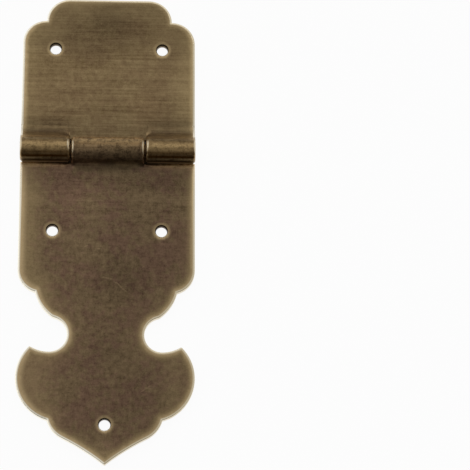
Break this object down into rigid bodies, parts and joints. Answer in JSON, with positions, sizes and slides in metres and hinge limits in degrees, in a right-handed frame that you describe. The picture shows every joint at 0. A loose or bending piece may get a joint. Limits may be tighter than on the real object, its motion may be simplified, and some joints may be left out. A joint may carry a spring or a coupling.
{
  "type": "decorative hinge",
  "caption": "Flat sheet-brass surface hinge with a plain stepped leaf and a scalloped, pointed leaf joined by a rolled barrel and pin, for lids, boxes and small cabinet doors.",
  "frame": {"origin": "under the middle of the hinge's outline, on the plane of both backs", "axes": "+X along the pin, +Y towards the plain upper leaf, +Z out of the front"},
  "size_m": [0.04, 0.1101, 0.0059],
  "materials": {
    "leaf_brass": "antique brass, brushed, edges worn bright",
    "pin_brass": "plain brass"
  },
  "bodies": {
    "lower": {"lower_leaf": "leaf_brass"},
    "upper": {"upper_leaf": "leaf_brass", "hinge_pin": "pin_brass"}
  },
  "joints": [
    {"name": "hinge_swing", "type": "hinge", "parent": "lower", "child": "upper", "pos_m": [0, 0.0175, 0.00295], "axis": [1, 0, 0], "range_deg": [-80, 180]}
  ]
}
